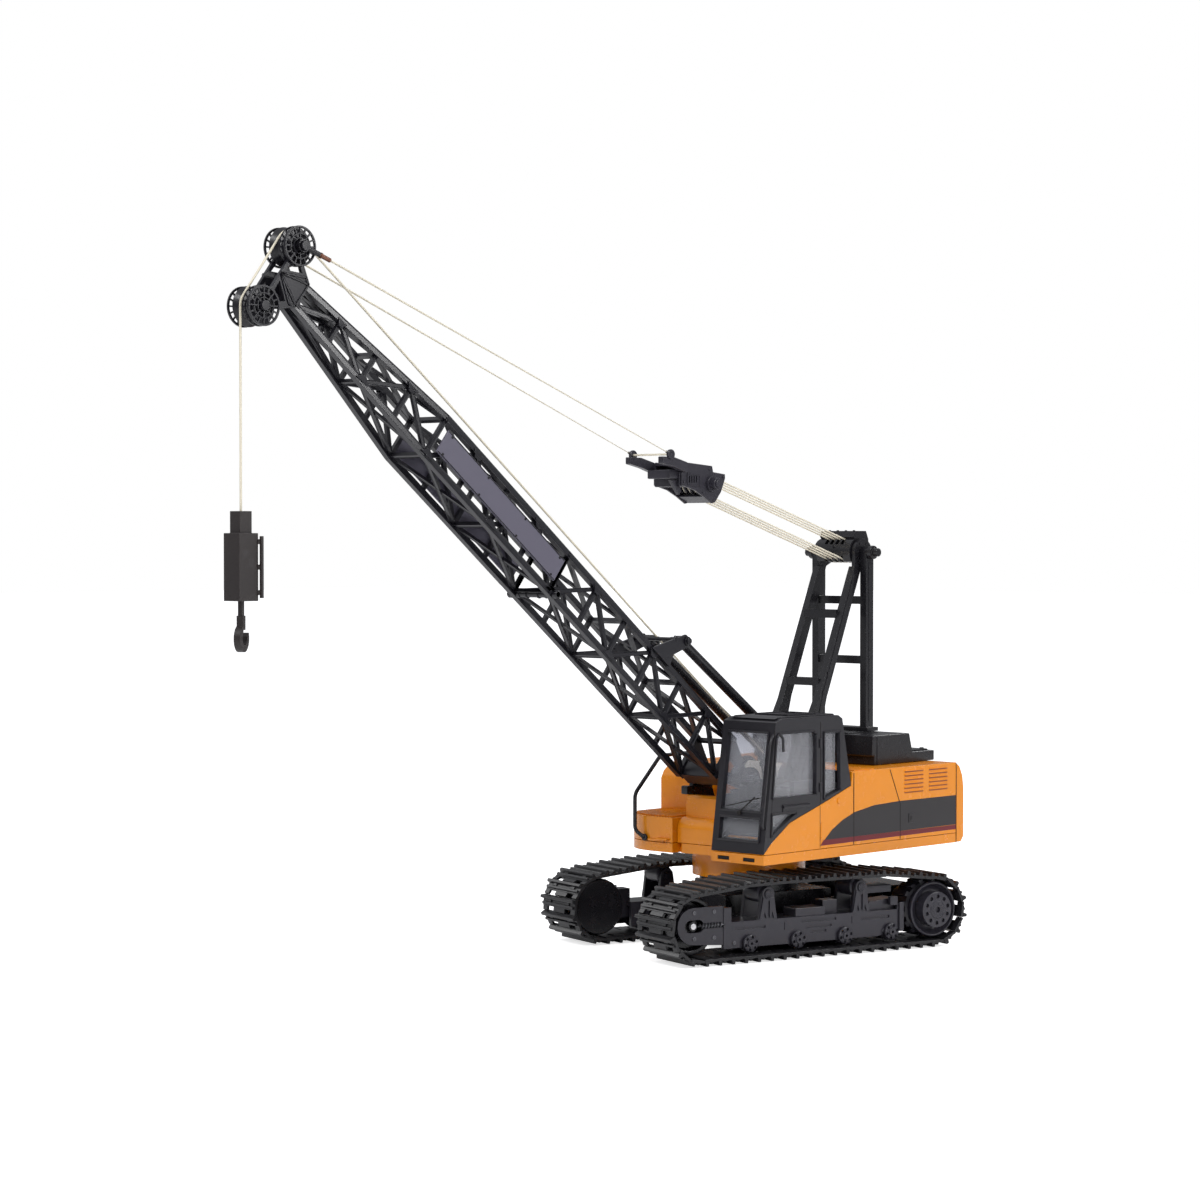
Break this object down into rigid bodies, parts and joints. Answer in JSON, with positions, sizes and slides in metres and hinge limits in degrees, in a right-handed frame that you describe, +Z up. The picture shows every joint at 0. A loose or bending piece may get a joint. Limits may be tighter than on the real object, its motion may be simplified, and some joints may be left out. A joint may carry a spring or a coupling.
{
  "type": "toy crawler crane",
  "caption": "Tracked toy crane: slewing body with cab and winch, luffing lattice boom held by a mast, harness and pendants, and a hook block hung on its rope.",
  "frame": {"origin": "on the ground, below the middle of the bounding box", "axes": "+Z up; -Y is the way the cab and boom face; +X is the crane's left, the cab side"},
  "size_m": [0.2488, 0.6518, 0.501],
  "materials": {
    "battery_wrap": "gloss",
    "brass": "satin",
    "circuit_green": "matte",
    "clear_plastic": "clear",
    "cream_rope": "matte",
    "dark_plastic": "satin",
    "orange_plastic": "satin",
    "seat_plastic": "matte",
    "sign_plastic": "satin",
    "steel": "brushed",
    "track_rubber": "matte"
  },
  "bodies": {
    "undercarriage": {"chassis_frame": "dark_plastic", "side_frame_left": "dark_plastic", "side_frame_right": "dark_plastic", "track_left": "track_rubber", "track_right": "track_rubber", "slew_ring": "steel", "travel_gearbox": "dark_plastic"},
    "idler_left": {"idler_wheel_left": "dark_plastic"},
    "sprocket_left": {"sprocket_left": "dark_plastic"},
    "roller_left_1": {"roller_left_1": "dark_plastic"},
    "roller_left_2": {"roller_left_2": "dark_plastic"},
    "roller_left_3": {"roller_left_3": "dark_plastic"},
    "roller_left_4": {"roller_left_4": "dark_plastic"},
    "carrier_left_1": {"carrier_roller_left_1": "dark_plastic"},
    "carrier_left_2": {"carrier_roller_left_2": "dark_plastic"},
    "idler_right": {"idler_wheel_right": "dark_plastic"},
    "sprocket_right": {"sprocket_right": "dark_plastic"},
    "roller_right_1": {"roller_right_1": "dark_plastic"},
    "roller_right_2": {"roller_right_2": "dark_plastic"},
    "roller_right_3": {"roller_right_3": "dark_plastic"},
    "roller_right_4": {"roller_right_4": "dark_plastic"},
    "carrier_right_1": {"carrier_roller_right_1": "dark_plastic"},
    "carrier_right_2": {"carrier_roller_right_2": "dark_plastic"},
    "superstructure": {"deck_frame": "orange_plastic", "hood": "orange_plastic", "counterweight": "orange_plastic", "side_box": "orange_plastic", "handrail": "dark_plastic", "engine_cover": "dark_plastic", "cab_shell": "dark_plastic", "cab_glass": "clear_plastic", "cab_seat": "seat_plastic", "battery_pack": "battery_wrap", "control_board": "circuit_green", "slew_motor": "steel", "boom_foot_pin": "steel", "mast_front_frame": "dark_plastic", "mast_rear_frame": "dark_plastic", "mast_head_casing": "dark_plastic", "luffing_rope": "cream_rope"},
    "slew_pinion": {"slew_pinion": "brass"},
    "hoist_winch": {"hoist_winch": "dark_plastic"},
    "luffing_drum": {"luffing_drum": "dark_plastic"},
    "boom": {"boom_lower_section": "dark_plastic", "boom_upper_section": "dark_plastic", "boom_joint_pin": "dark_plastic", "boom_sign": "sign_plastic", "boom_head": "dark_plastic", "harness": "dark_plastic", "pendant_rope": "cream_rope", "hoist_rope": "cream_rope"},
    "upper_sheave": {"upper_sheave": "dark_plastic"},
    "lower_sheave": {"lower_sheave": "dark_plastic"},
    "strut_tube_left": {"backstop_tube_left": "dark_plastic"},
    "strut_rod_left": {"backstop_rod_left": "dark_plastic"},
    "strut_tube_right": {"backstop_tube_right": "dark_plastic"},
    "strut_rod_right": {"backstop_rod_right": "dark_plastic"},
    "hook_line": {"hook_rope": "cream_rope"},
    "hook_block": {"hook_block": "dark_plastic"},
    "hook": {"hook": "steel"}
  },
  "joints": [
    {"name": "slew", "type": "hinge", "parent": "undercarriage", "child": "superstructure", "pos_m": [-0.00087, 0.17015, 0.06], "axis": [0, 0, 1], "continuous": true},
    {"name": "slew_pinion_spin", "type": "hinge", "parent": "superstructure", "child": "slew_pinion", "pos_m": [-0.013, 0.18372, 0.054], "axis": [0, 0, 1], "continuous": true},
    {"name": "sprocket_left_spin", "type": "hinge", "parent": "undercarriage", "child": "sprocket_left", "pos_m": [0.09543, 0.25427, 0.0273], "axis": [0.9628, -0.2701, 0], "continuous": true},
    {"name": "idler_left_spin", "type": "hinge", "parent": "undercarriage", "child": "idler_left", "pos_m": [0.03938, 0.05448, 0.0273], "axis": [0.9628, -0.2701, 0], "continuous": true},
    {"name": "roller_left_1_spin", "type": "hinge", "parent": "undercarriage", "child": "roller_left_1", "pos_m": [0.05219, 0.10012, 0.0124], "axis": [0.9628, -0.2701, 0], "continuous": true},
    {"name": "roller_left_2_spin", "type": "hinge", "parent": "undercarriage", "child": "roller_left_2", "pos_m": [0.06341, 0.14011, 0.0124], "axis": [0.9628, -0.2701, 0], "continuous": true},
    {"name": "roller_left_3_spin", "type": "hinge", "parent": "undercarriage", "child": "roller_left_3", "pos_m": [0.07463, 0.18011, 0.0124], "axis": [0.9628, -0.2701, 0], "continuous": true},
    {"name": "roller_left_4_spin", "type": "hinge", "parent": "undercarriage", "child": "roller_left_4", "pos_m": [0.08585, 0.2201, 0.0124], "axis": [0.9628, -0.2701, 0], "continuous": true},
    {"name": "carrier_left_1_spin", "type": "hinge", "parent": "undercarriage", "child": "carrier_left_1", "pos_m": [0.05654, 0.11562, 0.0468], "axis": [0.9628, -0.2701, 0], "continuous": true},
    {"name": "carrier_left_2_spin", "type": "hinge", "parent": "undercarriage", "child": "carrier_left_2", "pos_m": [0.07868, 0.19457, 0.0468], "axis": [0.9628, -0.2701, 0], "continuous": true},
    {"name": "sprocket_right_spin", "type": "hinge", "parent": "undercarriage", "child": "sprocket_right", "pos_m": [-0.03937, 0.29208, 0.0273], "axis": [0.9628, -0.2701, 0], "continuous": true},
    {"name": "idler_right_spin", "type": "hinge", "parent": "undercarriage", "child": "idler_right", "pos_m": [-0.09541, 0.09229, 0.0273], "axis": [0.9628, -0.2701, 0], "continuous": true},
    {"name": "roller_right_1_spin", "type": "hinge", "parent": "undercarriage", "child": "roller_right_1", "pos_m": [-0.08261, 0.13793, 0.0124], "axis": [0.9628, -0.2701, 0], "continuous": true},
    {"name": "roller_right_2_spin", "type": "hinge", "parent": "undercarriage", "child": "roller_right_2", "pos_m": [-0.07139, 0.17793, 0.0124], "axis": [0.9628, -0.2701, 0], "continuous": true},
    {"name": "roller_right_3_spin", "type": "hinge", "parent": "undercarriage", "child": "roller_right_3", "pos_m": [-0.06017, 0.21792, 0.0124], "axis": [0.9628, -0.2701, 0], "continuous": true},
    {"name": "roller_right_4_spin", "type": "hinge", "parent": "undercarriage", "child": "roller_right_4", "pos_m": [-0.04895, 0.25792, 0.0124], "axis": [0.9628, -0.2701, 0], "continuous": true},
    {"name": "carrier_right_1_spin", "type": "hinge", "parent": "undercarriage", "child": "carrier_right_1", "pos_m": [-0.07826, 0.15343, 0.0468], "axis": [0.9628, -0.2701, 0], "continuous": true},
    {"name": "carrier_right_2_spin", "type": "hinge", "parent": "undercarriage", "child": "carrier_right_2", "pos_m": [-0.05611, 0.23238, 0.0468], "axis": [0.9628, -0.2701, 0], "continuous": true},
    {"name": "luff", "type": "hinge", "parent": "superstructure", "child": "boom", "pos_m": [-0.00087, 0.14245, 0.1249], "axis": [-1, 0, 0], "range_deg": [-15, 22], "deforming": ["luffing_rope", "hoist_rope"]},
    {"name": "strut_rod_left_swing", "type": "hinge", "parent": "superstructure", "child": "strut_rod_left", "pos_m": [0.01453, 0.20705, 0.1357], "axis": [-1, 0, 0], "range_deg": [-14, 20]},
    {"name": "strut_tube_left_swing", "type": "hinge", "parent": "boom", "child": "strut_tube_left", "pos_m": [0.01453, 0.07675, 0.2286], "axis": [-1, 0, 0], "range_deg": [-9, 7]},
    {"name": "strut_rod_right_swing", "type": "hinge", "parent": "superstructure", "child": "strut_rod_right", "pos_m": [-0.01627, 0.20705, 0.1357], "axis": [-1, 0, 0], "range_deg": [-14, 20]},
    {"name": "strut_tube_right_swing", "type": "hinge", "parent": "boom", "child": "strut_tube_right", "pos_m": [-0.01627, 0.07675, 0.2286], "axis": [-1, 0, 0], "range_deg": [-9, 7]},
    {"name": "luffing_drum_spin", "type": "hinge", "parent": "superstructure", "child": "luffing_drum", "pos_m": [-0.00087, 0.28095, 0.2918], "axis": [-1, 0, 0], "range_deg": [-150, 220]},
    {"name": "hook_swing", "type": "hinge", "parent": "boom", "child": "hook_line", "pos_m": [-0.00087, -0.31795, 0.4487], "axis": [-1, 0, 0], "range_deg": [-25, 18]},
    {"name": "hoist", "type": "slide", "parent": "hook_line", "child": "hook_block", "axis": [0, 0, 1], "range_m": [-0.2, 0.09], "deforming": ["hook_rope"]},
    {"name": "hook_swivel", "type": "hinge", "parent": "hook_block", "child": "hook", "pos_m": [-0.00087, -0.31795, 0.262], "axis": [0, 0, 1], "continuous": true},
    {"name": "hoist_winch_spin", "type": "hinge", "parent": "superstructure", "child": "hoist_winch", "pos_m": [-0.00087, 0.19175, 0.1235], "axis": [-1, 0, 0], "range_deg": [-506, 1118]},
    {"name": "upper_sheave_spin", "type": "hinge", "parent": "boom", "child": "upper_sheave", "pos_m": [-0.00087, -0.27735, 0.488], "axis": [-1, 0, 0], "range_deg": [-1086, 491]},
    {"name": "lower_sheave_spin", "type": "hinge", "parent": "boom", "child": "lower_sheave", "pos_m": [-0.00087, -0.30735, 0.4487], "axis": [-1, 0, 0], "range_deg": [-1086, 491]}
  ],
  "couplings": [
    {"joint": "slew_pinion_spin", "follows": "slew", "ratio": 3.6},
    {"joint": "idler_left_spin", "follows": "sprocket_left_spin", "ratio": 1},
    {"joint": "roller_left_1_spin", "follows": "sprocket_left_spin", "ratio": 3.2769},
    {"joint": "roller_left_2_spin", "follows": "sprocket_left_spin", "ratio": 3.2769},
    {"joint": "roller_left_3_spin", "follows": "sprocket_left_spin", "ratio": 3.2769},
    {"joint": "roller_left_4_spin", "follows": "sprocket_left_spin", "ratio": 3.2769},
    {"joint": "carrier_left_1_spin", "follows": "sprocket_left_spin", "ratio": -3.0429},
    {"joint": "carrier_left_2_spin", "follows": "sprocket_left_spin", "ratio": -3.0429},
    {"joint": "idler_right_spin", "follows": "sprocket_right_spin", "ratio": 1},
    {"joint": "roller_right_1_spin", "follows": "sprocket_right_spin", "ratio": 3.2769},
    {"joint": "roller_right_2_spin", "follows": "sprocket_right_spin", "ratio": 3.2769},
    {"joint": "roller_right_3_spin", "follows": "sprocket_right_spin", "ratio": 3.2769},
    {"joint": "roller_right_4_spin", "follows": "sprocket_right_spin", "ratio": 3.2769},
    {"joint": "carrier_right_1_spin", "follows": "sprocket_right_spin", "ratio": -3.0429},
    {"joint": "carrier_right_2_spin", "follows": "sprocket_right_spin", "ratio": -3.0429},
    {"joint": "strut_rod_left_swing", "follows": "luff", "ratio": 0.7238},
    {"joint": "strut_tube_left_swing", "follows": "luff", "ratio": -0.2762},
    {"joint": "strut_rod_right_swing", "follows": "luff", "ratio": 0.7238},
    {"joint": "strut_tube_right_swing", "follows": "luff", "ratio": -0.2762},
    {"joint": "luffing_drum_spin", "follows": "luff", "ratio": 9},
    {"joint": "hook_swing", "follows": "luff", "ratio": -1},
    {"joint": "hoist_winch_spin", "follows": "hoist", "rad_per_m": -97.087},
    {"joint": "upper_sheave_spin", "follows": "hoist", "rad_per_m": 94.34},
    {"joint": "lower_sheave_spin", "follows": "hoist", "rad_per_m": 94.34}
  ]
}
